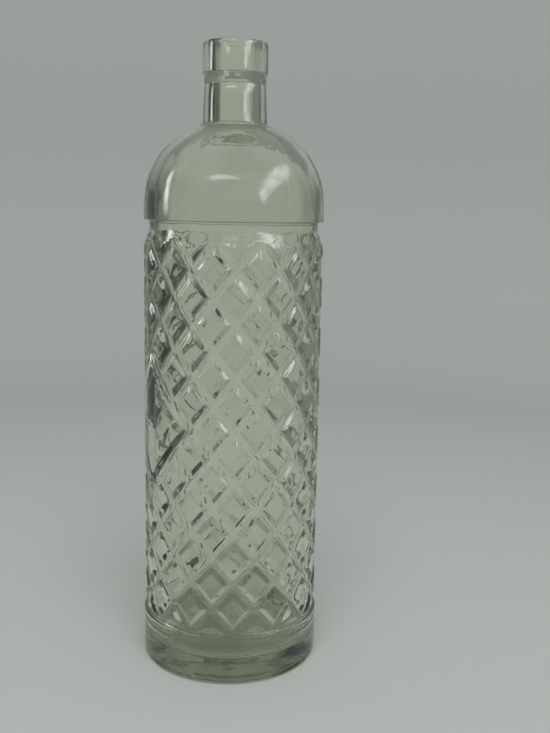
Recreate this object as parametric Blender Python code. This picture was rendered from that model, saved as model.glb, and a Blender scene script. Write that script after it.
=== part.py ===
"""Clear glass liquor bottle with a moulded lozenge wall, one litre.

The bottle is one piece of glass: a heavy foot, a straight body covered with raised lozenges,
a domed shoulder, and a short neck that ends in a collar. Every length is in metres. The bottle
stands on z = 0 with its axis on Z, and a crossing of the lozenge grooves faces -Y.
"""
import math

import bmesh
import bpy

# Body: the radius is that of the groove floor, which the other radii stand out from or cut into.
BODY_RADIUS = 0.0406
WALL_THICKNESS = 0.0032

# Foot: a plain ring, hollowed underneath so that it stands on a narrow flat band.
FOOT_HEIGHT = 0.0227
FOOT_STAND_OUT = 0.0018
HEEL_RADIUS = 0.0020
RESTING_BAND_WIDTH = 0.0045
PUSH_UP_HEIGHT = 0.0040
FOOT_EDGE_RADIUS = 0.0005
FOOT_STEP_HEIGHT = 0.0008

# Inside floor.
FLOOR_HEIGHT = 0.0090
FLOOR_CROWN_HEIGHT = 0.0020
FLOOR_CORNER_RADIUS = 0.0070

# Lozenge lattice: lozenges stand in columns, and each row is half a lozenge high.
LOZENGES_ROUND = 13
HALF_ROWS = 15
LOZENGE_HEIGHT = 0.02373
LOZENGE_RELIEF = 0.00125
GROOVE_WIDTH = 0.0026
FACET_WIDTH = 0.0021
LOWER_BORDER_HEIGHT = 0.0004
UPPER_BORDER_HEIGHT = 0.0014

# Plain panel: one large lozenge in place of nine, as high as the others' crowns, for a label. It is
# centred that many columns round from the front and that many half rows up.
PANEL_COLUMN = -5
PANEL_ROW = 8
PANEL_LOZENGES = 3

# Waist: the sunk band between the lattice and the shoulder.
WAIST_DEPTH = 0.0013
WAIST_HEIGHT = 0.0073
WAIST_EASE_HEIGHT = 0.0022
WAIST_COVE_RADIUS = 0.0008

# Shoulder: a dome that leaves the wall upright and flattens towards the neck. Its glass is
# thicker at the neck's root than at the wall.
SHOULDER_STAND_OUT = 0.0013
SHOULDER_EDGE_RADIUS = 0.0004
DOME_HEIGHT = 0.0426
DOME_WALL_THICKNESS = 0.0048
DOME_RISE_POWER = 3.04
DOME_REACH_POWER = 1.165

# Neck and finish: a slightly tapered neck, a low ring over a notch, and the collar at the mouth.
NECK_ROOT_RADIUS = 0.0149
NECK_TOP_RADIUS = 0.0141
NECK_HEIGHT = 0.0178
NECK_ROOT_FILLET = 0.0010
NECK_RING_HEIGHT = 0.0045
NECK_RING_RADIUS = 0.0143
NOTCH_HEIGHT = 0.0007
NOTCH_DEPTH = 0.0004
COLLAR_HEIGHT = 0.0141
COLLAR_RADIUS = 0.0149
COLLAR_UNDERCUT_DEPTH = 0.0011
COLLAR_EDGE_RADIUS = 0.0004
COLLAR_TOP_RADIUS = 0.0016
BORE_RADIUS = 0.0094
MOUTH_EDGE_RADIUS = 0.0008
BORE_ROOT_FILLET = 0.0045

# How finely curves are cut into flat faces.
FINE_STEPS = 2
CORNER_STEPS = 3
DOME_STEPS = 9
INNER_DOME_STEPS = 7
CROWN_STEPS = 3
WELD_DISTANCE = 0.00001

GLASS_COLOUR = (0.80, 0.86, 0.82, 1.0)
GLASS_ROUGHNESS = 0.03
GLASS_IOR = 1.52
SHARP_ANGLE = math.radians(24)

# Heights of the bottle's stages, each worked out from the one below.
half_row = LOZENGE_HEIGHT / 2
foot_step_top = FOOT_HEIGHT + FOOT_STEP_HEIGHT
lattice_bottom = foot_step_top + LOWER_BORDER_HEIGHT
lattice_top = lattice_bottom + HALF_ROWS * half_row
waist_bottom = lattice_top + UPPER_BORDER_HEIGHT
shoulder_bottom = waist_bottom + WAIST_HEIGHT
dome_bottom = shoulder_bottom + SHOULDER_EDGE_RADIUS
dome_top = dome_bottom + DOME_HEIGHT
neck_top = dome_top + NECK_HEIGHT
collar_bottom = neck_top + NECK_RING_HEIGHT
mouth_height = collar_bottom + COLLAR_HEIGHT

foot_radius = BODY_RADIUS + FOOT_STAND_OUT
waist_radius = BODY_RADIUS - WAIST_DEPTH
shoulder_radius = BODY_RADIUS + SHOULDER_STAND_OUT
inner_radius = BODY_RADIUS - WALL_THICKNESS

# A column is half a lozenge wide. Shares of a lozenge's half width and half height say where its
# facets start and end, so that grooves and facets keep their true widths measured square across.
column_angle = math.pi / LOZENGES_ROUND
front_angle = -math.pi / 2
half_width = BODY_RADIUS * column_angle
half_across = half_width * half_row / math.hypot(half_width, half_row)
foot_share = 1 - GROOVE_WIDTH / 2 / half_across
crown_share = foot_share - FACET_WIDTH / half_across
border_share = FACET_WIDTH / half_row
side_share = crown_share - border_share

# The same for the panel, whose sides run straight along the grooves.
panel_foot = PANEL_LOZENGES - GROOVE_WIDTH / 2 / half_across
panel_crown = panel_foot - FACET_WIDTH / half_across


def arc(radius, height, size, start, end, steps):
    """Points (radius, height) on an arc of the profile, its ends included; angles in degrees."""
    points = []
    for step in range(steps + 1):
        turn = math.radians(start + (end - start) * step / steps)
        points.append((radius + size * math.cos(turn), height + size * math.sin(turn)))
    return points


def crowned(radius, edge_height, rise):
    """Points from the middle to the edge of a shallow bulge that rises in the middle."""
    points = []
    for step in range(CROWN_STEPS + 1):
        share = step / CROWN_STEPS
        points.append((radius * share, edge_height + rise * (1 - share ** 2)))
    return points


def dome(start, end, steps):
    """Points of the shoulder's curve, from the upright wall to where it meets the neck."""
    points = []
    for step in range(steps + 1):
        rise = math.sin(math.pi / 2 * step / steps)
        reach = max(1 - rise ** DOME_RISE_POWER, 0) ** (1 / DOME_REACH_POWER)
        points.append((end[0] + (start[0] - end[0]) * reach, start[1] + (end[1] - start[1]) * rise))
    return points


def foot_profile():
    """From the middle of the underside, out and up to the lattice's lower border."""
    band_outer = foot_radius - HEEL_RADIUS
    band_inner = band_outer - RESTING_BAND_WIDTH
    profile = crowned(band_inner, 0, PUSH_UP_HEIGHT)
    profile += arc(band_outer, HEEL_RADIUS, HEEL_RADIUS, -90, 0, CORNER_STEPS)
    edge_height = FOOT_HEIGHT - FOOT_EDGE_RADIUS
    profile += arc(foot_radius - FOOT_EDGE_RADIUS, edge_height, FOOT_EDGE_RADIUS, 0, 90, FINE_STEPS)
    profile += [(BODY_RADIUS, foot_step_top), (BODY_RADIUS, lattice_bottom)]
    return profile


def upper_profile():
    """From the lattice's upper border over the outside to the mouth, and down the inside."""
    profile = [(BODY_RADIUS, lattice_top), (BODY_RADIUS, waist_bottom)]
    profile.append((waist_radius, waist_bottom + WAIST_EASE_HEIGHT))
    cove_height = shoulder_bottom - WAIST_COVE_RADIUS
    profile += arc(waist_radius + WAIST_COVE_RADIUS, cove_height, WAIST_COVE_RADIUS, 180, 90, FINE_STEPS)
    edge_radius = shoulder_radius - SHOULDER_EDGE_RADIUS
    profile.append((edge_radius, shoulder_bottom))
    root = NECK_ROOT_RADIUS + NECK_ROOT_FILLET
    profile += dome((shoulder_radius, dome_bottom), (root, dome_top), DOME_STEPS)
    profile += arc(root, dome_top + NECK_ROOT_FILLET, NECK_ROOT_FILLET, -90, -180, FINE_STEPS)[1:]
    profile += finish_profile() + inner_profile()
    return profile


def finish_profile():
    """Outside of the neck's top: the notch, the low ring, the undercut and the collar."""
    notch_radius = NECK_TOP_RADIUS - NOTCH_DEPTH
    undercut_radius = COLLAR_RADIUS - COLLAR_UNDERCUT_DEPTH
    profile = [(NECK_TOP_RADIUS, neck_top - NOTCH_HEIGHT), (notch_radius, neck_top)]
    profile += [(NECK_RING_RADIUS, neck_top + NOTCH_HEIGHT), (undercut_radius, collar_bottom)]
    lower_edge = collar_bottom + COLLAR_EDGE_RADIUS
    profile += arc(COLLAR_RADIUS - COLLAR_EDGE_RADIUS, lower_edge, COLLAR_EDGE_RADIUS, -90, 0, FINE_STEPS)
    upper_edge = mouth_height - COLLAR_TOP_RADIUS
    profile += arc(COLLAR_RADIUS - COLLAR_TOP_RADIUS, upper_edge, COLLAR_TOP_RADIUS, 0, 90, CORNER_STEPS)
    return profile


def inner_profile():
    """From the mouth's inner edge down the bore, the dome and the wall to the floor's middle."""
    mouth_edge = mouth_height - MOUTH_EDGE_RADIUS
    profile = arc(BORE_RADIUS + MOUTH_EDGE_RADIUS, mouth_edge, MOUTH_EDGE_RADIUS, 90, 180, FINE_STEPS)
    root = BORE_RADIUS + BORE_ROOT_FILLET
    ceiling = dome_top - DOME_WALL_THICKNESS
    profile += arc(root, ceiling + BORE_ROOT_FILLET, BORE_ROOT_FILLET, 180, 270, FINE_STEPS)
    profile += dome((inner_radius, dome_bottom), (root, ceiling), INNER_DOME_STEPS)[-2::-1]
    corner = inner_radius - FLOOR_CORNER_RADIUS
    corner_height = FLOOR_HEIGHT + FLOOR_CORNER_RADIUS
    profile += arc(corner, corner_height, FLOOR_CORNER_RADIUS, 0, -90, CORNER_STEPS)
    profile += crowned(corner, FLOOR_HEIGHT, FLOOR_CROWN_HEIGHT)[-2::-1]
    return profile


def on_bottle(column, radius, height):
    """The point that many columns round from the front, at a radius and a height."""
    turn = front_angle + column * column_angle
    return (radius * math.cos(turn), radius * math.sin(turn), height)


def add_face(bm, points):
    """A face through the points, which run anticlockwise as seen from outside the glass."""
    bm.faces.new([bm.verts.new(point) for point in points])


def add_turned_skin(bm, profile, columns):
    """The skin that a profile sweeps round the axis, cut at the given columns."""
    closed = columns + [columns[0] + 2 * LOZENGES_ROUND]
    for (radius, height), (next_radius, next_height) in zip(profile, profile[1:]):
        for column, next_column in zip(closed, closed[1:]):
            points = []
            if radius:
                points += [on_bottle(column, radius, height), on_bottle(next_column, radius, height)]
            else:
                points.append((0, 0, height))
            if next_radius:
                points.append(on_bottle(next_column, next_radius, next_height))
                points.append(on_bottle(column, next_radius, next_height))
            else:
                points.append((0, 0, next_height))
            add_face(bm, points)


def border_columns(first):
    """Where the skin is cut beside the row of half lozenges whose first one is in column first."""
    shares = (-foot_share, -side_share, 0, side_share, foot_share)
    return [column + share for column in range(first, 2 * LOZENGES_ROUND, 2) for share in shares]


def on_lattice(column, row, relief=0):
    """A point of the lattice: columns round, half rows up, and its relief over the groove floor."""
    return on_bottle(column, BODY_RADIUS + relief, lattice_bottom + row * half_row)


def add_lozenge(bm, column, row):
    """One raised lozenge: four sloping facets round a crown that bends with the wall."""
    corners = ((1, 0), (0, 1), (-1, 0), (0, -1))
    foot = [on_lattice(column + foot_share * x, row + foot_share * y) for x, y in corners]
    crown = [on_lattice(column + crown_share * x, row + crown_share * y, LOZENGE_RELIEF) for x, y in corners]
    for side in range(4):
        after = (side + 1) % 4
        add_face(bm, (foot[side], foot[after], crown[after], crown[side]))
    right, top, left, bottom = crown
    add_face(bm, (right, top, bottom))
    add_face(bm, (top, left, bottom))


def add_half_lozenge(bm, column, row, up):
    """Half a lozenge on a border of the lattice, pointing up (1) or down (-1)."""
    def foot(share, rise=0):
        return on_lattice(column + share, row + up * rise)

    def crown(share, rise):
        return on_lattice(column + share, row + up * rise, LOZENGE_RELIEF)

    left, right, tip = foot(-foot_share), foot(foot_share), foot(0, foot_share)
    crown_left, crown_right = crown(-side_share, border_share), crown(side_share, border_share)
    crown_middle, crown_tip = crown(0, border_share), crown(0, crown_share)
    faces = [
        (right, tip, crown_tip, crown_right),
        (tip, left, crown_left, crown_tip),
        (left, foot(-side_share), crown_left),
        (foot(-side_share), foot(0), crown_middle, crown_left),
        (foot(0), foot(side_share), crown_right, crown_middle),
        (foot(side_share), right, crown_right),
        (crown_middle, crown_right, crown_tip),
        (crown_left, crown_middle, crown_tip),
    ]
    for points in faces:
        add_face(bm, points[::up])


def steps_from_panel(column, row):
    """How many columns and rows a place of the lattice is from the panel's centre, added up."""
    columns = (column - PANEL_COLUMN) % (2 * LOZENGES_ROUND)
    return min(columns, 2 * LOZENGES_ROUND - columns) + abs(row - PANEL_ROW)


def add_crossing(bm, column, row):
    """The groove floor where two grooves cross, with the two stretches of groove above it."""
    gap = 1 - foot_share
    left, right = on_lattice(column - gap, row), on_lattice(column + gap, row)
    top, bottom = on_lattice(column, row + gap), on_lattice(column, row - gap)
    if row == 0:
        add_face(bm, (left, right, top))
    elif row == HALF_ROWS:
        add_face(bm, (right, left, bottom))
    else:
        add_face(bm, (right, top, bottom))
        add_face(bm, (top, left, bottom))
    if row < HALF_ROWS:
        next_row = row + 1
        above_right = (on_lattice(column + 1, next_row - gap), on_lattice(column + foot_share, next_row))
        above_left = (on_lattice(column - foot_share, next_row), on_lattice(column - 1, next_row - gap))
        if steps_from_panel(column + 1, next_row) >= PANEL_LOZENGES:
            add_face(bm, (right, *above_right, top))
        if steps_from_panel(column - 1, next_row) >= PANEL_LOZENGES:
            add_face(bm, (top, *above_left, left))


def add_panel(bm):
    """The plain panel: four long facets cut where the grooves meet them, round one bent crown."""
    gap = 1 - foot_share
    cuts = [0]
    for lozenge in range(1, PANEL_LOZENGES):
        cuts += [lozenge - gap, lozenge]

    def on_side(reach, relief, x, y):
        """Points along one side, from its right or left corner to its top or bottom corner."""
        columns = [reach] + cuts[::-1]
        return [on_lattice(PANEL_COLUMN + x * c, PANEL_ROW + y * (reach - c), relief) for c in columns]

    crown = {}
    for x, y in ((1, 1), (-1, 1), (-1, -1), (1, -1)):
        foot = on_side(panel_foot, 0, x, y)
        crown[x, y] = on_side(panel_crown, LOZENGE_RELIEF, x, y)
        for step in range(len(foot) - 1):
            points = (foot[step], foot[step + 1], crown[x, y][step + 1], crown[x, y][step])
            add_face(bm, points[::x * y])
    for x in (1, -1):
        above, below = crown[x, 1], crown[x, -1]
        add_face(bm, (above[0], above[1], below[1])[::x])
        for step in range(1, len(above) - 1):
            add_face(bm, (above[step], above[step + 1], below[step + 1], below[step])[::x])


def add_lattice(bm):
    """The whole moulded wall: lozenges and crossings take turns along every row."""
    add_panel(bm)
    for row in range(HALF_ROWS + 1):
        for column in range(2 * LOZENGES_ROUND):
            if steps_from_panel(column, row) < PANEL_LOZENGES:
                continue
            if (column + row) % 2 == 0:
                add_crossing(bm, column, row)
            elif row == 0:
                add_half_lozenge(bm, column, row, 1)
            elif row == HALF_ROWS:
                add_half_lozenge(bm, column, row, -1)
            else:
                add_lozenge(bm, column, row)


def clear_scene():
    for item in list(bpy.data.objects):
        bpy.data.objects.remove(item, do_unlink=True)


def glass_material():
    """Clear soda glass with the faint green of iron in the sand."""
    material = bpy.data.materials.new("bottle_glass")
    material.use_nodes = True
    shader = material.node_tree.nodes["Principled BSDF"]
    shader.inputs["Base Color"].default_value = GLASS_COLOUR
    shader.inputs["Roughness"].default_value = GLASS_ROUGHNESS
    shader.inputs["Metallic"].default_value = 0
    shader.inputs["IOR"].default_value = GLASS_IOR
    shader.inputs["Transmission Weight"].default_value = 1
    return material


def make_bottle():
    """The one piece of glass, closed from the underside over the lip to the floor inside."""
    bm = bmesh.new()
    add_turned_skin(bm, foot_profile(), border_columns(1))
    add_lattice(bm)
    add_turned_skin(bm, upper_profile(), border_columns((HALF_ROWS + 1) % 2))
    bmesh.ops.remove_doubles(bm, verts=bm.verts, dist=WELD_DISTANCE)
    mesh = bpy.data.meshes.new("glass_bottle")
    bm.to_mesh(mesh)
    bm.free()
    mesh.shade_smooth()
    mesh.set_sharp_from_angle(angle=SHARP_ANGLE)
    bottle = bpy.data.objects.new("glass_bottle", mesh)
    bpy.context.scene.collection.objects.link(bottle)
    mesh.materials.append(glass_material())
    return bottle


clear_scene()
make_bottle()
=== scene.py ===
"""The look of a clear one-litre liquor bottle with a moulded lozenge wall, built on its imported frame.

Lengths are in metres. The bottle stands on z = 0 with its axis on Z, and a crossing of the lozenge
grooves faces -Y. Outlines run as (radius, height) points in the order in which the glass is cut:
from the middle of the underside, up the outside, over the lip and down the inside to the floor.
"""
import math

import bmesh
import bpy
from mathutils import Matrix, Quaternion, Vector


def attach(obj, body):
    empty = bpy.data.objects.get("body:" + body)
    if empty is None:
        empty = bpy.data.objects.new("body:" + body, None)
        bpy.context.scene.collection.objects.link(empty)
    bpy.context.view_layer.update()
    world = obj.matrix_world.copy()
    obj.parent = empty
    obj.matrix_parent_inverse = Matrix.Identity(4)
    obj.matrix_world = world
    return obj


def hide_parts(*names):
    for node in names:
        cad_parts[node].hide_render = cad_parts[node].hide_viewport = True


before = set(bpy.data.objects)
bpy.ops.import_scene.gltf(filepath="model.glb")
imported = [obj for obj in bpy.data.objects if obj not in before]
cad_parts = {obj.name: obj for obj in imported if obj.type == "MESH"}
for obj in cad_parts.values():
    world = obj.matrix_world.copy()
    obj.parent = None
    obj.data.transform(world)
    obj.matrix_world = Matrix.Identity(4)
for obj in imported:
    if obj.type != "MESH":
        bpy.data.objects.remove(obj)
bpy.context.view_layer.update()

# The foot: the thick ring of glass that the bottle stands on, with a rounded heel and a small step
# up to the wall. The mould's bottom plate pushes the underside up, so only a rim touches the table.
body_radius = 0.0406
foot_height = 0.0227
foot_stand_out = 0.0018
foot_radius = body_radius + foot_stand_out
heel_radius = 0.0020
resting_band_width = 0.0045
push_up_height = 0.0040
foot_edge_radius = 0.0005
foot_step_height = 0.0008
foot_step_top = foot_height + foot_step_height
heel_steps = 8
edge_steps = 4


def arc(radius, height, size, start, end, steps):
    """Points on an arc of an outline, its ends included; the angles are in degrees."""
    points = []
    for step in range(steps + 1):
        turn = math.radians(start + (end - start) * step / steps)
        points.append((radius + size * math.cos(turn), height + size * math.sin(turn)))
    return points


def straight(start, end, steps):
    """Points on a straight stretch of an outline, its ends left out."""
    return [tuple(a + (b - a) * step / steps for a, b in zip(start, end)) for step in range(1, steps)]


def bulge(radius, edge_height, rise, steps):
    """Points from the middle to the edge of a shallow bulge that is highest in the middle."""
    shares = [step / steps for step in range(steps + 1)]
    return [(radius * share, edge_height + rise * (1 - share ** 2)) for share in shares]


band_outer = foot_radius - heel_radius
foot_edge = foot_height - foot_edge_radius
foot_outline = bulge(band_outer - resting_band_width, 0, push_up_height, 10)
foot_outline += arc(band_outer, heel_radius, heel_radius, -90, 0, heel_steps)
foot_outline += straight((foot_radius, heel_radius), (foot_radius, foot_edge), 4)
foot_outline += arc(foot_radius - foot_edge_radius, foot_edge, foot_edge_radius, 0, 90, edge_steps)
foot_outline += [(body_radius, foot_step_top)]

# The lozenge wall: the straight body, whose mould is cut with two sets of crossing grooves, so that
# raised lozenges stand between them. Here the wall is laid out smooth, in cells with mesh lines
# along the grooves, and the mould's relief is pressed into it further down.
lozenges_round = 13
half_rows = 15
lozenge_height = 0.02373
groove_width = 0.0026
facet_width = 0.0021
lower_border_height = 0.0004
lattice_bottom = foot_step_top + lower_border_height
half_row = lozenge_height / 2
lattice_top = lattice_bottom + half_rows * half_row
column_angle = math.pi / lozenges_round
half_width = body_radius * column_angle
half_across = half_width * half_row / math.hypot(half_width, half_row)

# Mesh lines across half a lozenge, as distances square from the middle of its groove. They crowd
# where the sloping facet starts and ends.
line_places = (0, 0.00095, 0.0013, 0.0017, 0.00235, 0.0030, 0.0034, 0.0039, 0.0056)
cell_lines = [place / 2 / half_across for place in line_places] + [0.5]
cell_lines += [1 - line for line in reversed(cell_lines[:-1])]


def on_bottle(column, radius, height):
    """The point that many columns of half a lozenge round from the front, at a radius and height."""
    turn = column * column_angle - math.pi / 2
    return (radius * math.cos(turn), radius * math.sin(turn), height)


def add_face(bm, points):
    """A face through the points, which run anticlockwise as seen from outside the glass."""
    bm.faces.new([bm.verts.new(point) for point in points])


def add_cell(bm, column, row):
    """The smooth wall of one lozenge, which is a half one along the upper and lower borders."""
    last = len(cell_lines) - 1
    for i in range(last):
        for j in range(last):
            corners = []
            for a, b in ((i, j), (i + 1, j), (i + 1, j + 1), (i, j + 1)):
                rise = cell_lines[a] + cell_lines[b] - 1
                corners.append((column + cell_lines[a] - cell_lines[b], row + rise, a + b - last))
            if row == 0:
                corners = [corner for corner in corners if corner[2] >= 0]
            if row == half_rows:
                corners = [corner for corner in corners if corner[2] <= 0]
            if len(corners) > 2:
                heights = [lattice_bottom + corner[1] * half_row for corner in corners]
                places = zip(corners, heights)
                add_face(bm, [on_bottle(corner[0], body_radius, height) for corner, height in places])


# The waist: a plain band sunk between the lozenges and the shoulder, which keeps a shoulder bump
# from rubbing the pattern. The shoulder stands out over it with a small cove under its edge.
waist_depth = 0.0013
waist_height = 0.0073
waist_ease_height = 0.0022
waist_cove_radius = 0.0008
upper_border_height = 0.0014
waist_radius = body_radius - waist_depth
waist_bottom = lattice_top + upper_border_height
shoulder_bottom = waist_bottom + waist_height
waist_outline = [(body_radius, waist_bottom), (waist_radius, waist_bottom + waist_ease_height)]
cove_height = shoulder_bottom - waist_cove_radius
waist_outline += straight(waist_outline[-1], (waist_radius, cove_height), 3)
waist_outline += arc(waist_radius + waist_cove_radius, cove_height, waist_cove_radius, 180, 90, 5)

# The shoulder: a domed cap of glass with an upright plain band at its foot. It was blown against the
# same mould, and the glass is thickest where the dome closes in on the neck.
shoulder_stand_out = 0.0013
shoulder_radius = body_radius + shoulder_stand_out
shoulder_edge_radius = 0.0004
dome_height = 0.0426
dome_bottom = shoulder_bottom + shoulder_edge_radius
dome_top = dome_bottom + dome_height
dome_rise_power = 3.04
dome_reach_power = 1.165
dome_steps = 30
neck_root_radius = 0.0149
neck_root_fillet = 0.0010


def dome(start, end, steps):
    """Points of a rounded shoulder, from the top of an upright wall in to where it meets a neck."""
    points = []
    for step in range(steps + 1):
        rise = math.sin(math.pi / 2 * step / steps)
        reach = max(1 - rise ** dome_rise_power, 0) ** (1 / dome_reach_power)
        points.append((end[0] + (start[0] - end[0]) * reach, start[1] + (end[1] - start[1]) * rise))
    return points


edge_middle = (shoulder_radius - shoulder_edge_radius, dome_bottom)
shoulder_outline = arc(*edge_middle, shoulder_edge_radius, -90, 0, edge_steps)[:-1]
root_outer = neck_root_radius + neck_root_fillet
shoulder_outline += dome((shoulder_radius, dome_bottom), (root_outer, dome_top), dome_steps)
root_middle = (root_outer, dome_top + neck_root_fillet)
shoulder_outline += arc(*root_middle, neck_root_fillet, -90, -180, 5)[1:]

# The neck and its finish: the neck tapers up to a fine notch and a low ring, and above them the
# collar with the lip is shaped by a tool on the hot glass while the neck turns.
neck_height = 0.0178
neck_top = dome_top + neck_height
neck_top_radius = 0.0141
notch_height = 0.0007
notch_depth = 0.0004
neck_ring_height = 0.0045
neck_ring_radius = 0.0143
collar_height = 0.0141
collar_bottom = neck_top + neck_ring_height
collar_radius = 0.0149
collar_undercut_depth = 0.0011
collar_edge_radius = 0.0004
collar_top_radius = 0.0016
mouth_height = collar_bottom + collar_height
notch_start = (neck_top_radius, neck_top - notch_height)
neck_outline = straight(shoulder_outline[-1], notch_start, 4) + [notch_start]
neck_outline += [(neck_top_radius - notch_depth, neck_top), (neck_ring_radius, neck_top + notch_height)]
neck_outline += [(collar_radius - collar_undercut_depth, collar_bottom)]
lower_edge = (collar_radius - collar_edge_radius, collar_bottom + collar_edge_radius)
neck_outline += arc(*lower_edge, collar_edge_radius, -90, 0, edge_steps)
upper_edge = (collar_radius - collar_top_radius, mouth_height - collar_top_radius)
neck_outline += straight(neck_outline[-1], (collar_radius, upper_edge[1]), 4)
neck_outline += arc(*upper_edge, collar_top_radius, 0, 90, 8)

# The inside: an open bore down the neck, a hollow under the dome, an upright wall and a thick floor
# that rises a little in the middle. Air pressure formed it, so it has no sharp edge and no pattern.
# Its mesh is finer below rings_top, where level rings are pressed in further down.
wall_thickness = 0.0032
inner_radius = body_radius - wall_thickness
bore_radius = 0.0094
mouth_edge_radius = 0.0008
bore_root_fillet = 0.0045
dome_wall_thickness = 0.0048
ceiling = dome_top - dome_wall_thickness
floor_corner_radius = 0.0070
floor_height = 0.0090
floor_crown_height = 0.0020
inner_dome_steps = 28
wall_steps = 34
rings_top = 0.028
ring_steps = 20
mouth_edge = (bore_radius + mouth_edge_radius, mouth_height - mouth_edge_radius)
inner_outline = arc(*mouth_edge, mouth_edge_radius, 90, 180, 5)
bore_root = (bore_radius + bore_root_fillet, ceiling + bore_root_fillet)
inner_outline += straight(inner_outline[-1], (bore_radius, bore_root[1]), 8)
inner_outline += arc(*bore_root, bore_root_fillet, 180, 270, 8)
inner_outline += dome((inner_radius, dome_bottom), (bore_root[0], ceiling), inner_dome_steps)[-2::-1]
corner = (inner_radius - floor_corner_radius, floor_height + floor_corner_radius)
inner_outline += straight(inner_outline[-1], (inner_radius, rings_top), wall_steps)
inner_outline += [(inner_radius, rings_top)]
inner_outline += straight(inner_outline[-1], (inner_radius, corner[1]), ring_steps)
inner_outline += arc(*corner, floor_corner_radius, 0, -90, 16)
inner_outline += bulge(corner[0], floor_height, floor_crown_height, 8)[-2::-1]

# The blank: one closed skin of glass from all the outlines, still without the relief. Away from the
# lozenges, every second mesh line runs on.
weld_distance = 0.00001


def border_columns(first):
    """Where mesh lines meet a border of the lattice, whose first half lozenge is in column first."""
    centres = range(first, first + 2 * lozenges_round, 2)
    columns = [centre + 2 * line - 1 for centre in centres for line in cell_lines[:-1]]
    return columns + [columns[0] + 2 * lozenges_round]


def add_ring(bm, columns, low, high, low_step=2, high_step=2):
    """The skin between two points of an outline; a step of 1 keeps every mesh line on that side."""
    for first in range(0, len(columns) - 1, 2):
        span = columns[first:first + 3]
        below = [on_bottle(column, *low) for column in span[::low_step]]
        above = [on_bottle(column, *high) for column in span[::-high_step]]
        add_face(bm, below[:None if low[0] else 1] + above[:None if high[0] else 1])


def smooth_blank():
    bm = bmesh.new()
    columns = border_columns(1)
    for low, high in zip(foot_outline, foot_outline[1:]):
        add_ring(bm, columns, low, high)
    add_ring(bm, columns, foot_outline[-1], (body_radius, lattice_bottom), high_step=1)
    for row in range(half_rows + 1):
        for column in range((row + 1) % 2, 2 * lozenges_round, 2):
            add_cell(bm, column, row)
    columns = border_columns(0)
    outline = waist_outline + shoulder_outline + neck_outline + inner_outline
    add_ring(bm, columns, (body_radius, lattice_top), outline[0], low_step=1)
    for low, high in zip(outline, outline[1:]):
        add_ring(bm, columns, low, high)
    bmesh.ops.remove_doubles(bm, verts=bm.verts, dist=weld_distance)
    mesh = bpy.data.meshes.new("bottle")
    bm.to_mesh(mesh)
    bm.free()
    return mesh


# The mould's relief: what pressing the hot glass into the lozenge pattern does to the blank, as one
# rule. A point rises by its distance from the nearest groove. One large plain lozenge on the left
# takes the place of three by three small ones. The inside, which no mould touches, wavers a little
# and has level rings above its floor, where the glass cooled in steps.
lozenge_relief = 0.00125
crown_corner_rounding = 0.0030
crease_softness = 0.22
panel_column = -5
panel_row = 8
panel_lozenges = 3
inner_waviness = 0.0006
inner_wave_scale = 28.0
ring_depth = 0.00050
ring_spacing = 0.0034


class Sums:
    """Writes arithmetic as nodes: each call adds one Math node and returns its result."""

    def __init__(self, tree):
        self.tree = tree

    def __call__(self, operation, *values):
        node = self.tree.nodes.new("ShaderNodeMath")
        node.operation = operation
        for socket, value in zip(node.inputs, values):
            if isinstance(value, (int, float)):
                socket.default_value = value
            else:
                self.tree.links.new(value, socket)
        return node.outputs[0]


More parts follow.
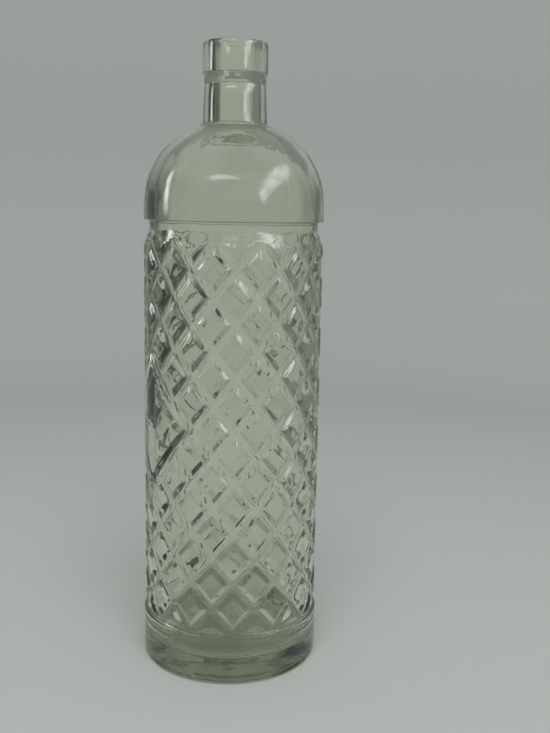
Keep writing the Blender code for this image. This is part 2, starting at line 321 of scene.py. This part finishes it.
def relief_tree():
    """The rule as a geometry node tree with a named input for each size."""
    tree = bpy.data.node_groups.new("mould_relief", "GeometryNodeTree")
    tree.interface.new_socket("Geometry", in_out="INPUT", socket_type="NodeSocketGeometry")
    tree.interface.new_socket("Geometry", in_out="OUTPUT", socket_type="NodeSocketGeometry")
    numbers = ["Lozenges Round", "Lozenge Height", "Lattice Bottom", "Half Rows", "Body Radius"]
    numbers += ["Relief", "Cell Width", "Groove Width", "Facet Width", "Corner Rounding", "Softness"]
    numbers += ["Panel Column", "Panel Row", "Panel Lozenges", "Wall", "Waviness", "Wave Scale"]
    numbers += ["Ring Depth", "Ring Spacing", "Rings Top"]
    for label in numbers:
        tree.interface.new_socket(label, in_out="INPUT", socket_type="NodeSocketFloat")
    tree.interface.new_socket("Material", in_out="INPUT", socket_type="NodeSocketMaterial")
    nodes, links, sums = tree.nodes, tree.links, Sums(tree)
    given, result = nodes.new("NodeGroupInput"), nodes.new("NodeGroupOutput")
    size = given.outputs
    place = nodes.new("ShaderNodeSeparateXYZ")
    position = nodes.new("GeometryNodeInputPosition")
    links.new(position.outputs[0], place.inputs[0])
    x, y, z = place.outputs

    # Where a point lies, counted in half lozenges round and up, and along the two sets of grooves.
    radius = sums("SQRT", sums("ADD", sums("MULTIPLY", x, x), sums("MULTIPLY", y, y)))
    turn = sums("ARCTAN2", x, sums("MULTIPLY", y, -1.0))
    column = sums("DIVIDE", sums("MULTIPLY", turn, size["Lozenges Round"]), math.pi)
    climb = sums("SUBTRACT", z, size["Lattice Bottom"])
    half_height = sums("DIVIDE", size["Lozenge Height"], 2.0)
    row = sums("DIVIDE", climb, half_height)
    right = sums("DIVIDE", sums("ADD", row, column), 2.0)
    left = sums("DIVIDE", sums("SUBTRACT", row, column), 2.0)
    rounding = sums("DIVIDE", size["Corner Rounding"], size["Cell Width"])

    # The distance from the nearest groove's middle, in a small lozenge or in the large plain one.
    low_right, low_left = sums("FRACT", right), sums("FRACT", left)
    high_right, high_left = sums("SUBTRACT", 1.0, low_right), sums("SUBTRACT", 1.0, low_left)
    low = sums("MINIMUM", low_right, low_left)
    small = sums("MINIMUM", low, sums("SMOOTH_MIN", high_right, high_left, rounding))
    reach = sums("DIVIDE", size["Panel Lozenges"], 2.0)
    middle = sums("DIVIDE", sums("ADD", size["Panel Row"], size["Panel Column"]), 2.0)
    off_right = sums("SUBTRACT", right, middle)
    middle = sums("DIVIDE", sums("SUBTRACT", size["Panel Row"], size["Panel Column"]), 2.0)
    off_left = sums("SUBTRACT", left, middle)
    low = sums("MINIMUM", sums("ADD", reach, off_right), sums("ADD", reach, off_left))
    high_right, high_left = sums("SUBTRACT", reach, off_right), sums("SUBTRACT", reach, off_left)
    large = sums("MINIMUM", low, sums("SMOOTH_MIN", high_right, high_left, rounding))
    inside = sums("MULTIPLY", sums("MAXIMUM", small, large), size["Cell Width"])
    half_groove = sums("DIVIDE", size["Groove Width"], 2.0)
    height = sums("MULTIPLY", half_height, size["Half Rows"])
    border = sums("MINIMUM", climb, sums("SUBTRACT", height, climb))
    inside = sums("MINIMUM", inside, sums("ADD", border, half_groove))

    # How far up its facet a point has climbed, with a soft crease at the foot and at the crown.
    climbed = sums("DIVIDE", sums("SUBTRACT", inside, half_groove), size["Facet Width"])
    climbed = sums("SMOOTH_MAX", climbed, 0.0, size["Softness"])
    climbed = sums("SMOOTH_MIN", climbed, 1.0, size["Softness"])
    half_wall = sums("DIVIDE", size["Wall"], 2.0)
    outside = sums("GREATER_THAN", radius, sums("SUBTRACT", size["Body Radius"], half_wall))
    raised = sums("MULTIPLY", sums("MULTIPLY", climbed, size["Relief"]), outside)

    # The waver of the inside, and level rings low on it that fade out as they go up.
    waver = nodes.new("ShaderNodeTexNoise")
    links.new(position.outputs[0], waver.inputs["Vector"])
    links.new(size["Wave Scale"], waver.inputs["Scale"])
    waver.inputs["Detail"].default_value = 1.0
    swing = sums("MULTIPLY", sums("SUBTRACT", waver.outputs[0], 0.5), size["Waviness"])
    wave = sums("SINE", sums("DIVIDE", sums("MULTIPLY", z, 2 * math.pi), size["Ring Spacing"]))
    fade = sums("MAXIMUM", sums("SUBTRACT", 1.0, sums("DIVIDE", z, size["Rings Top"])), 0.0)
    rings = sums("MULTIPLY", sums("MULTIPLY", wave, fade), size["Ring Depth"])
    swing = sums("MULTIPLY", sums("ADD", swing, rings), sums("SUBTRACT", 1.0, outside))

    move = sums("DIVIDE", sums("ADD", raised, swing), sums("MAXIMUM", radius, 0.001))
    offset = nodes.new("ShaderNodeCombineXYZ")
    links.new(sums("MULTIPLY", x, move), offset.inputs[0])
    links.new(sums("MULTIPLY", y, move), offset.inputs[1])
    shift = nodes.new("GeometryNodeSetPosition")
    links.new(given.outputs["Geometry"], shift.inputs["Geometry"])
    links.new(offset.outputs[0], shift.inputs["Offset"])
    real = nodes.new("GeometryNodeRealizeInstances")
    finish = nodes.new("GeometryNodeSetMaterial")
    links.new(shift.outputs[0], real.inputs[0])
    links.new(real.outputs[0], finish.inputs["Geometry"])
    links.new(given.outputs["Material"], finish.inputs["Material"])
    links.new(finish.outputs[0], result.inputs[0])
    return tree


# The glass: clear soda glass with a yellow-green tint from iron in the sand, which shows where one
# looks through much of it. Faint ripples from the mould run over all of its faces and level streaks
# round its foot, and old dust makes it a little cloudy.
glass_tint = (0.978, 0.983, 0.91, 1)
iron_tint = (0.52, 0.56, 0.42, 1)
iron_density = 20.0
lamp_light_tint = (0.72, 0.73, 0.68, 1)
glass_ior = 1.52
ripple_scale = 90.0
ripple_depth = 0.0006
ripple_strength = 0.35
streak_scale = (8, 8, 300)
streak_strength = 1.6
streak_fade_start = foot_height * 0.8
dust_scale = 38.0
dust_patch_starts, dust_patch_full = 0.50, 0.78
patch_dust = 0.05
shoulder_dust = 0.03
shoulder_dust_top = dome_top - 0.02
groove_dust = 0.04
groove_dust_full = body_radius + lozenge_relief * 0.15
groove_dust_ends = body_radius + lozenge_relief * 0.55
clean_grooves_below, dusty_grooves_above = 0.05, 0.13
clean_groove_share = 0.2


def map_range(tree, value, start, end, low, high, easing="LINEAR"):
    """Maps a value from between start and end to between low and high, and holds it at both ends."""
    node = tree.nodes.new("ShaderNodeMapRange")
    node.interpolation_type = easing
    for label, number in (("From Min", start), ("From Max", end), ("To Min", low), ("To Max", high)):
        node.inputs[label].default_value = number
    tree.links.new(value, node.inputs["Value"])
    return node.outputs[0]


def noise(tree, where, scale, detail):
    """Cloudy values that lie round 0.5."""
    node = tree.nodes.new("ShaderNodeTexNoise")
    node.inputs["Scale"].default_value = scale
    node.inputs["Detail"].default_value = detail
    tree.links.new(where, node.inputs["Vector"])
    return node.outputs[0]


def stretch(tree, where, factors):
    """A place with each coordinate multiplied by its factor."""
    node = tree.nodes.new("ShaderNodeVectorMath")
    node.operation = "MULTIPLY"
    node.inputs[1].default_value = factors
    tree.links.new(where, node.inputs[0])
    return node.outputs[0]


def ripples(tree, where, height):
    """The surface's direction with faint ripples everywhere and level streaks round the foot."""
    sums = Sums(tree)
    streaks = noise(tree, stretch(tree, where, streak_scale), 1.0, 1.0)
    on_foot = map_range(tree, height, streak_fade_start, foot_height, streak_strength, 0.0)
    uneven = sums("ADD", noise(tree, where, ripple_scale, 2.0), sums("MULTIPLY", streaks, on_foot))
    bump = tree.nodes.new("ShaderNodeBump")
    bump.inputs["Strength"].default_value = ripple_strength
    bump.inputs["Distance"].default_value = ripple_depth
    tree.links.new(uneven, bump.inputs["Height"])
    return bump.outputs[0]


def dust(tree, where, height):
    """How much dust lies on the glass: thin patches, more on the shoulder and in the upper grooves."""
    sums = Sums(tree)
    cloudy = noise(tree, where, dust_scale, 6.0)
    patches = map_range(tree, cloudy, dust_patch_starts, dust_patch_full, 0.0, patch_dust)
    settled = map_range(tree, height, shoulder_bottom, shoulder_dust_top, 0.0, shoulder_dust)
    reach = tree.nodes.new("ShaderNodeVectorMath")
    reach.operation = "LENGTH"
    tree.links.new(stretch(tree, where, (1, 1, 0)), reach.inputs[0])
    radius = reach.outputs["Value"]
    sunk = map_range(tree, radius, groove_dust_full, groove_dust_ends, groove_dust, 0.0)
    outside = sums("GREATER_THAN", radius, body_radius - wall_thickness / 2)
    below = sums("LESS_THAN", height, lattice_top)
    above = sums("GREATER_THAN", height, lattice_bottom)
    grooves = sums("MULTIPLY", sums("MULTIPLY", sunk, outside), sums("MULTIPLY", above, below))
    heights = (clean_grooves_below, dusty_grooves_above)
    grooves = sums("MULTIPLY", grooves, map_range(tree, height, *heights, clean_groove_share, 1.0))
    return sums("ADD", sums("ADD", patches, settled), grooves)


def bottle_glass():
    material = bpy.data.materials.new("bottle_glass")
    material.use_nodes = True
    tree = material.node_tree
    nodes, links = tree.nodes, tree.links
    shader, output = nodes["Principled BSDF"], nodes["Material Output"]
    shader.inputs["Base Color"].default_value = glass_tint
    shader.inputs["Roughness"].default_value = 0.0
    shader.inputs["IOR"].default_value = glass_ior
    where = nodes.new("ShaderNodeTexCoord").outputs["Object"]
    place = nodes.new("ShaderNodeSeparateXYZ")
    links.new(where, place.inputs[0])
    height = place.outputs[2]
    links.new(ripples(tree, where, height), shader.inputs["Normal"])
    clean = Sums(tree)("SUBTRACT", 1.0, dust(tree, where, height))
    links.new(clean, shader.inputs["Transmission Weight"])

    # Light from a lamp goes straight through to the table, a little tinted.
    light_path = nodes.new("ShaderNodeLightPath")
    clear = nodes.new("ShaderNodeBsdfTransparent")
    clear.inputs["Color"].default_value = lamp_light_tint
    mix = nodes.new("ShaderNodeMixShader")
    links.new(light_path.outputs["Is Shadow Ray"], mix.inputs[0])
    links.new(shader.outputs[0], mix.inputs[1])
    links.new(clear.outputs[0], mix.inputs[2])
    links.new(mix.outputs[0], output.inputs["Surface"])

    iron = nodes.new("ShaderNodeVolumeAbsorption")
    iron.inputs["Color"].default_value = iron_tint
    iron.inputs["Density"].default_value = iron_density
    links.new(iron.outputs[0], output.inputs["Volume"])
    return material


def pressed_bottle():
    """The blank with the relief pressed into it, as a plain mesh at the origin."""
    blank = bpy.data.objects.new("blank", smooth_blank())
    bpy.context.scene.collection.objects.link(blank)
    modifier = blank.modifiers.new("mould_relief", "NODES")
    modifier.node_group = relief_tree()
    values = {
        "Lozenges Round": float(lozenges_round), "Lozenge Height": lozenge_height,
        "Lattice Bottom": lattice_bottom, "Half Rows": float(half_rows), "Body Radius": body_radius,
        "Relief": lozenge_relief, "Cell Width": 2 * half_across, "Groove Width": groove_width,
        "Facet Width": facet_width, "Corner Rounding": crown_corner_rounding,
        "Softness": crease_softness, "Panel Column": float(panel_column),
        "Panel Row": float(panel_row), "Panel Lozenges": float(panel_lozenges),
        "Wall": wall_thickness, "Waviness": inner_waviness, "Wave Scale": inner_wave_scale,
        "Ring Depth": ring_depth, "Ring Spacing": ring_spacing, "Rings Top": rings_top,
        "Material": bottle_glass(),
    }
    for item in modifier.node_group.interface.items_tree:
        if item.name in values:
            modifier[item.identifier] = values[item.name]
    bpy.context.view_layer.update()
    graph = bpy.context.evaluated_depsgraph_get()
    mesh = bpy.data.meshes.new_from_object(blank.evaluated_get(graph))
    bpy.data.objects.remove(blank)
    mesh.shade_smooth()
    piece = bpy.data.objects.new("moulded_bottle", mesh)
    bpy.context.scene.collection.objects.link(piece)
    return piece


bottle = pressed_bottle()
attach(bottle, "root")
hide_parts("glass_bottle")

# The stage: a round sheet of pale card that runs level under the bottle and sweeps up all round it,
# with no corner and no horizon. It is not part of the bottle.
stage_drop = 0.0002
level_radius = 0.62
sweep_radius = 0.33
stage_height = 0.95
sweep_steps = 16
sweep_corners = 96
stage_colour = (0.42, 0.44, 0.42)


def matt_card(name, colour):
    material = bpy.data.materials.new(name)
    material.use_nodes = True
    shader = material.node_tree.nodes["Principled BSDF"]
    shader.inputs["Base Color"].default_value = (*colour, 1)
    shader.inputs["Roughness"].default_value = 0.9
    return material


def round_sweep():
    outline = [(level_radius / 2, -stage_drop)]
    outline += arc(level_radius, sweep_radius - stage_drop, sweep_radius, -90, 0, sweep_steps)
    outline += [(level_radius + sweep_radius, stage_height)]
    turns = [2 * math.pi * corner / sweep_corners for corner in range(sweep_corners)]
    bm = bmesh.new()
    middle = bm.verts.new((0, 0, -stage_drop))
    rings = []
    for radius, height in outline:
        rings.append([bm.verts.new((radius * math.cos(t), radius * math.sin(t), height)) for t in turns])
    for first in range(sweep_corners):
        after = (first + 1) % sweep_corners
        bm.faces.new([middle, rings[0][first], rings[0][after]])
        for low, high in zip(rings, rings[1:]):
            bm.faces.new([low[first], high[first], high[after], low[after]])
    mesh = bpy.data.meshes.new("sweep")
    bm.normal_update()
    bm.to_mesh(mesh)
    bm.free()
    mesh.shade_smooth()
    mesh.materials.append(matt_card("pale_card", stage_colour))
    sheet = bpy.data.objects.new("sweep", mesh)
    bpy.context.scene.collection.objects.link(sheet)


round_sweep()

# The cards: clear glass shows its shape by what it bends into view, so cards that glow with painted
# light and shade stand to the right and left behind, the left one with a black part, and a dark band
# of painted shade runs round above. Greys go with degrees round from the front: the low ones show in
# the body and the high ones in the neck.
low_greys = ((-90, 0.20), (-60, 0.32), (75, 0.36), (96, 0.17), (132, 0.15), (138, 0.08), (145, 0.08),
             (151, 0.24), (166, 0.37), (190, 0.37), (196, 0.20), (202, 0.01), (252, 0.01), (269, 0.20))
high_greys = ((-90, 0.02), (-60, 0.02), (75, 0.20), (95, 0.25), (130, 0.28), (166, 0.37), (190, 0.37),
              (206, 0.24), (222, 0.20), (232, 0.02), (269, 0.02))
low_greys_top, high_greys_bottom = 0.29, 0.36
card_tint = (0.97, 1.05, 0.97)
card_distance = 0.50
right_card_ends, right_card_height = (75, 166), 0.42
left_card_ends, left_card_height = (190, 300), 0.50
shade_band_colour = (0.17, 0.18, 0.17)
band_distance = 0.90
band_bottom = 0.55
degrees_per_face = 6


def around(azimuth, distance, height):
    """The place that many degrees round to the right of the front, at a distance and a height."""
    turn = math.radians(azimuth)
    return Vector((distance * math.sin(turn), -distance * math.cos(turn), height))


def grey_scale(tree, turn, greys):
    """The grey at a share of a full turn that starts 90 degrees to the left of the front."""
    ramp = tree.nodes.new("ShaderNodeValToRGB")
    while len(ramp.color_ramp.elements) < len(greys):
        ramp.color_ramp.elements.new(0.5)
    for stop, (azimuth, grey) in zip(ramp.color_ramp.elements, greys):
        stop.position = (azimuth + 90) / 360
        stop.color = (*(grey * channel for channel in card_tint), 1)
    tree.links.new(turn, ramp.inputs["Fac"])
    return ramp.outputs["Color"]


def painted_shade_card():
    """Glowing painted light and shade whose grey depends on where the card stands and on the height."""
    material = bpy.data.materials.new("painted_shade_card")
    material.use_nodes = True
    tree = material.node_tree
    nodes, links = tree.nodes, tree.links
    nodes.remove(nodes["Principled BSDF"])
    where = nodes.new("ShaderNodeTexCoord").outputs["Object"]
    turn = nodes.new("ShaderNodeTexGradient")
    turn.gradient_type = "RADIAL"
    links.new(where, turn.inputs["Vector"])
    place = nodes.new("ShaderNodeSeparateXYZ")
    links.new(where, place.inputs[0])
    mix = nodes.new("ShaderNodeMix")
    mix.data_type = "RGBA"
    risen = map_range(tree, place.outputs[2], low_greys_top, high_greys_bottom, 0.0, 1.0)
    links.new(risen, mix.inputs["Factor"])
    links.new(grey_scale(tree, turn.outputs["Fac"], low_greys), mix.inputs[6])
    links.new(grey_scale(tree, turn.outputs["Fac"], high_greys), mix.inputs[7])
    # The greys glow as light of their own: painted light and shade for the glass to bend into view.
    glow = nodes.new("ShaderNodeEmission")
    links.new(mix.outputs[2], glow.inputs["Color"])
    links.new(glow.outputs[0], nodes["Material Output"].inputs["Surface"])
    return material


def curved_card(name, ends, distance, bottom, top, material):
    """An upright card that bends round the bottle; only light that went through glass meets it."""
    start, end = ends
    faces = (end - start) // degrees_per_face
    bm = bmesh.new()
    turns = [start + (end - start) * step / faces for step in range(faces + 1)]
    low = [bm.verts.new(around(turn, distance, bottom)) for turn in turns]
    high = [bm.verts.new(around(turn, distance, top)) for turn in turns]
    for step in range(faces):
        bm.faces.new([low[step], low[step + 1], high[step + 1], high[step]])
    mesh = bpy.data.meshes.new(name)
    bm.to_mesh(mesh)
    bm.free()
    mesh.materials.append(material)
    card = bpy.data.objects.new(name, mesh)
    bpy.context.scene.collection.objects.link(card)
    card.visible_camera = card.visible_shadow = card.visible_diffuse = card.visible_glossy = False


# Glowing cards of painted light and shade, met only by light that went through the glass.
painted_shade = painted_shade_card()
curved_card("right_card", right_card_ends, card_distance, 0, right_card_height, painted_shade)
curved_card("left_card", left_card_ends, card_distance, 0, left_card_height, painted_shade)
# The band above is a dark matt card that only light through the glass meets: painted shade.
shade_band_card = matt_card("shade_band_card", shade_band_colour)
curved_card("upper_band", (0, 360), band_distance, band_bottom, stage_height, shade_band_card)

# The light: soft studio light from a large lamp above the camera. Four glowing panes with blurred
# edges stand in for windows as painted highlights: only reflections in the glass show them. The long
# one on the right leans, and the small one beside it is for the neck.
lamp_place = Vector((0.0, -0.75, 1.30))
lamp_aim = Vector((0, 0, 0.1))
lamp_width = 0.9
lamp_power = 18.5
highlight_tint = (0.95, 1.0, 0.97, 1)
highlight_edge = 0.7
cloud_scale = 2.2
cloud_dark, cloud_bright = 0.35, 0.60
cloud_shade = 0.45

lamp = bpy.data.objects.new("overhead", bpy.data.lights.new("overhead", "AREA"))
lamp.data.shape = "SQUARE"
lamp.data.size = lamp_width
lamp.data.energy = lamp_power
lamp.location = lamp_place
lamp.rotation_euler = (lamp_aim - lamp_place).to_track_quat("-Z", "Y").to_euler()
lamp.visible_camera = lamp.visible_transmission = lamp.visible_glossy = False
bpy.context.scene.collection.objects.link(lamp)


def painted_highlight_glow(name, brightness):
    """Painted highlight: a cloudy glow that fades out from the middle of a pane to its edge, and hides
    nothing.
    """
    material = bpy.data.materials.new(name)
    material.use_nodes = True
    tree = material.node_tree
    nodes, links = tree.nodes, tree.links
    nodes.remove(nodes["Principled BSDF"])
    where = nodes.new("ShaderNodeTexCoord").outputs["Object"]
    fade = nodes.new("ShaderNodeTexGradient")
    fade.gradient_type = "SPHERICAL"
    links.new(where, fade.inputs["Vector"])
    edge = map_range(tree, fade.outputs["Fac"], 0.0, highlight_edge, 0.0, brightness, "SMOOTHSTEP")
    clouds = noise(tree, where, cloud_scale, 3.0)
    cloudy = map_range(tree, clouds, cloud_dark, cloud_bright, cloud_shade, 1.0)
    glow = nodes.new("ShaderNodeEmission")
    glow.inputs["Color"].default_value = highlight_tint
    links.new(Sums(tree)("MULTIPLY", edge, cloudy), glow.inputs["Strength"])
    clear = nodes.new("ShaderNodeBsdfTransparent")
    both = nodes.new("ShaderNodeAddShader")
    links.new(glow.outputs[0], both.inputs[0])
    links.new(clear.outputs[0], both.inputs[1])
    links.new(both.outputs[0], nodes["Material Output"].inputs["Surface"])
    return material


def painted_highlight_pane(name, place, aim_height, width, height, brightness, lean=0):
    """A painted highlight: a glowing pane that faces the axis at a height and only reflections show."""
    mesh = bpy.data.meshes.new(name)
    mesh.from_pydata([(-1, -1, 0), (1, -1, 0), (1, 1, 0), (-1, 1, 0)], [], [(0, 1, 2, 3)])
    mesh.materials.append(painted_highlight_glow(name, brightness))
    pane = bpy.data.objects.new(name, mesh)
    bpy.context.scene.collection.objects.link(pane)
    aim = (Vector((0, 0, aim_height)) - place).to_track_quat("-Z", "Y")
    pane.rotation_euler = (aim @ Quaternion((0, 0, 1), math.radians(lean))).to_euler()
    pane.location = place
    pane.scale = (width / 2, height / 2, 1)
    pane.visible_camera = pane.visible_shadow = pane.visible_diffuse = pane.visible_transmission = False


# Glowing panes that stand in for windows: painted highlights, seen only in reflections.
painted_highlight_pane("left_highlight_pane", around(-94, 0.6, 0.37), 0.25, width=0.17, height=0.46, brightness=11)
painted_highlight_pane("right_highlight_pane", around(55, 0.6, 0.55), 0.24, width=0.30, height=1.00, brightness=6, lean=-62)
painted_highlight_pane("neck_highlight_pane", around(33, 0.6, 0.34), 0.26, width=0.15, height=0.20, brightness=5)
painted_highlight_pane("front_bar", around(-17, 0.45, 0.50), 0.24, width=0.48, height=0.10, brightness=6)

# The room: even pale light from all round, which falls more on the card than it shows in the glass.
room_colour = (0.9, 0.95, 0.98, 1)
room_in_glass = 0.25
room_on_card = 0.5

world = bpy.data.worlds.new("studio")
bpy.context.scene.world = world
world.use_nodes = True
tree = world.node_tree
background = tree.nodes["Background"]
background.inputs["Color"].default_value = room_colour
on_card = tree.nodes.new("ShaderNodeLightPath").outputs["Is Diffuse Ray"]
strength = map_range(tree, on_card, 0.0, 1.0, room_in_glass, room_on_card)
tree.links.new(strength, background.inputs["Strength"])

# The camera stands at the photograph's place: a little above the shoulder, looking slightly down.
camera_distance = 0.4306
camera_height = 0.2172
camera_round = math.radians(-1.913)
camera_down = math.radians(9.935)
camera_aside = math.radians(2.712)
camera_roll = math.radians(1.055)
camera_lens = 44.73

camera_data = bpy.data.cameras.new("camera")
camera_data.sensor_width = 36.0
camera_data.lens = camera_lens
camera_data.clip_start = 0.01
camera = bpy.data.objects.new("camera", camera_data)
bpy.context.scene.collection.objects.link(camera)
level_reach = math.cos(camera_down)
forward = Vector((math.sin(camera_aside) * level_reach, math.cos(camera_aside) * level_reach,
                  -math.sin(camera_down)))
side = Vector((math.cos(camera_aside), -math.sin(camera_aside), 0))
above = side.cross(forward)
rolled_side = side * math.cos(camera_roll) + above * math.sin(camera_roll)
rolled_above = above * math.cos(camera_roll) - side * math.sin(camera_roll)
turned = Matrix((rolled_side, rolled_above, -forward)).transposed().to_4x4()
place = Matrix.Translation((0, -camera_distance, camera_height))
camera.matrix_world = Matrix.Rotation(camera_round, 4, "Z") @ place @ turned
bpy.context.scene.camera = camera

bpy.context.scene.view_settings.view_transform = "Standard"

# Light turns many times inside thick glass before it comes out again.
turns_in_glass = 32
light_paths = bpy.context.scene.cycles
light_paths.max_bounces = light_paths.glossy_bounces = turns_in_glass
light_paths.transmission_bounces = turns_in_glass
